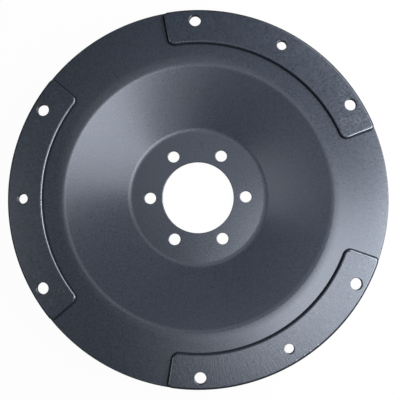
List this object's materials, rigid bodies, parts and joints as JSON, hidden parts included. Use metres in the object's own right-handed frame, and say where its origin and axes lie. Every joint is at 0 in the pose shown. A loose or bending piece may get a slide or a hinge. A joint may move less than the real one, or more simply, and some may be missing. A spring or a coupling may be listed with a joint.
{
  "type": "torque converter input plate",
  "caption": "Dished round steel plate with a sunken hub, a centre bore, bolt holes and raised arc pads on its rim, bolting an engine flywheel to a torque converter.",
  "frame": {"origin": "on the plate's axis, at the flat underside of the hub, on which the plate lies", "axes": "+Z along the axis, towards the front face with the pads; one pad is centred on -X; +Y is up in the picture"},
  "size_m": [0.34, 0.34, 0.0223],
  "materials": {
    "plate_paint": "satin blue-grey paint, finely mottled",
    "pad_paint": "satin blue-grey paint over ground faces, with faint spot weld rings"
  },
  "bodies": {
    "root": {"dished_plate": "plate_paint", "rim_pad_upper_right": "pad_paint", "rim_pad_left": "pad_paint", "rim_pad_lower_right": "pad_paint"}
  },
  "joints": []
}
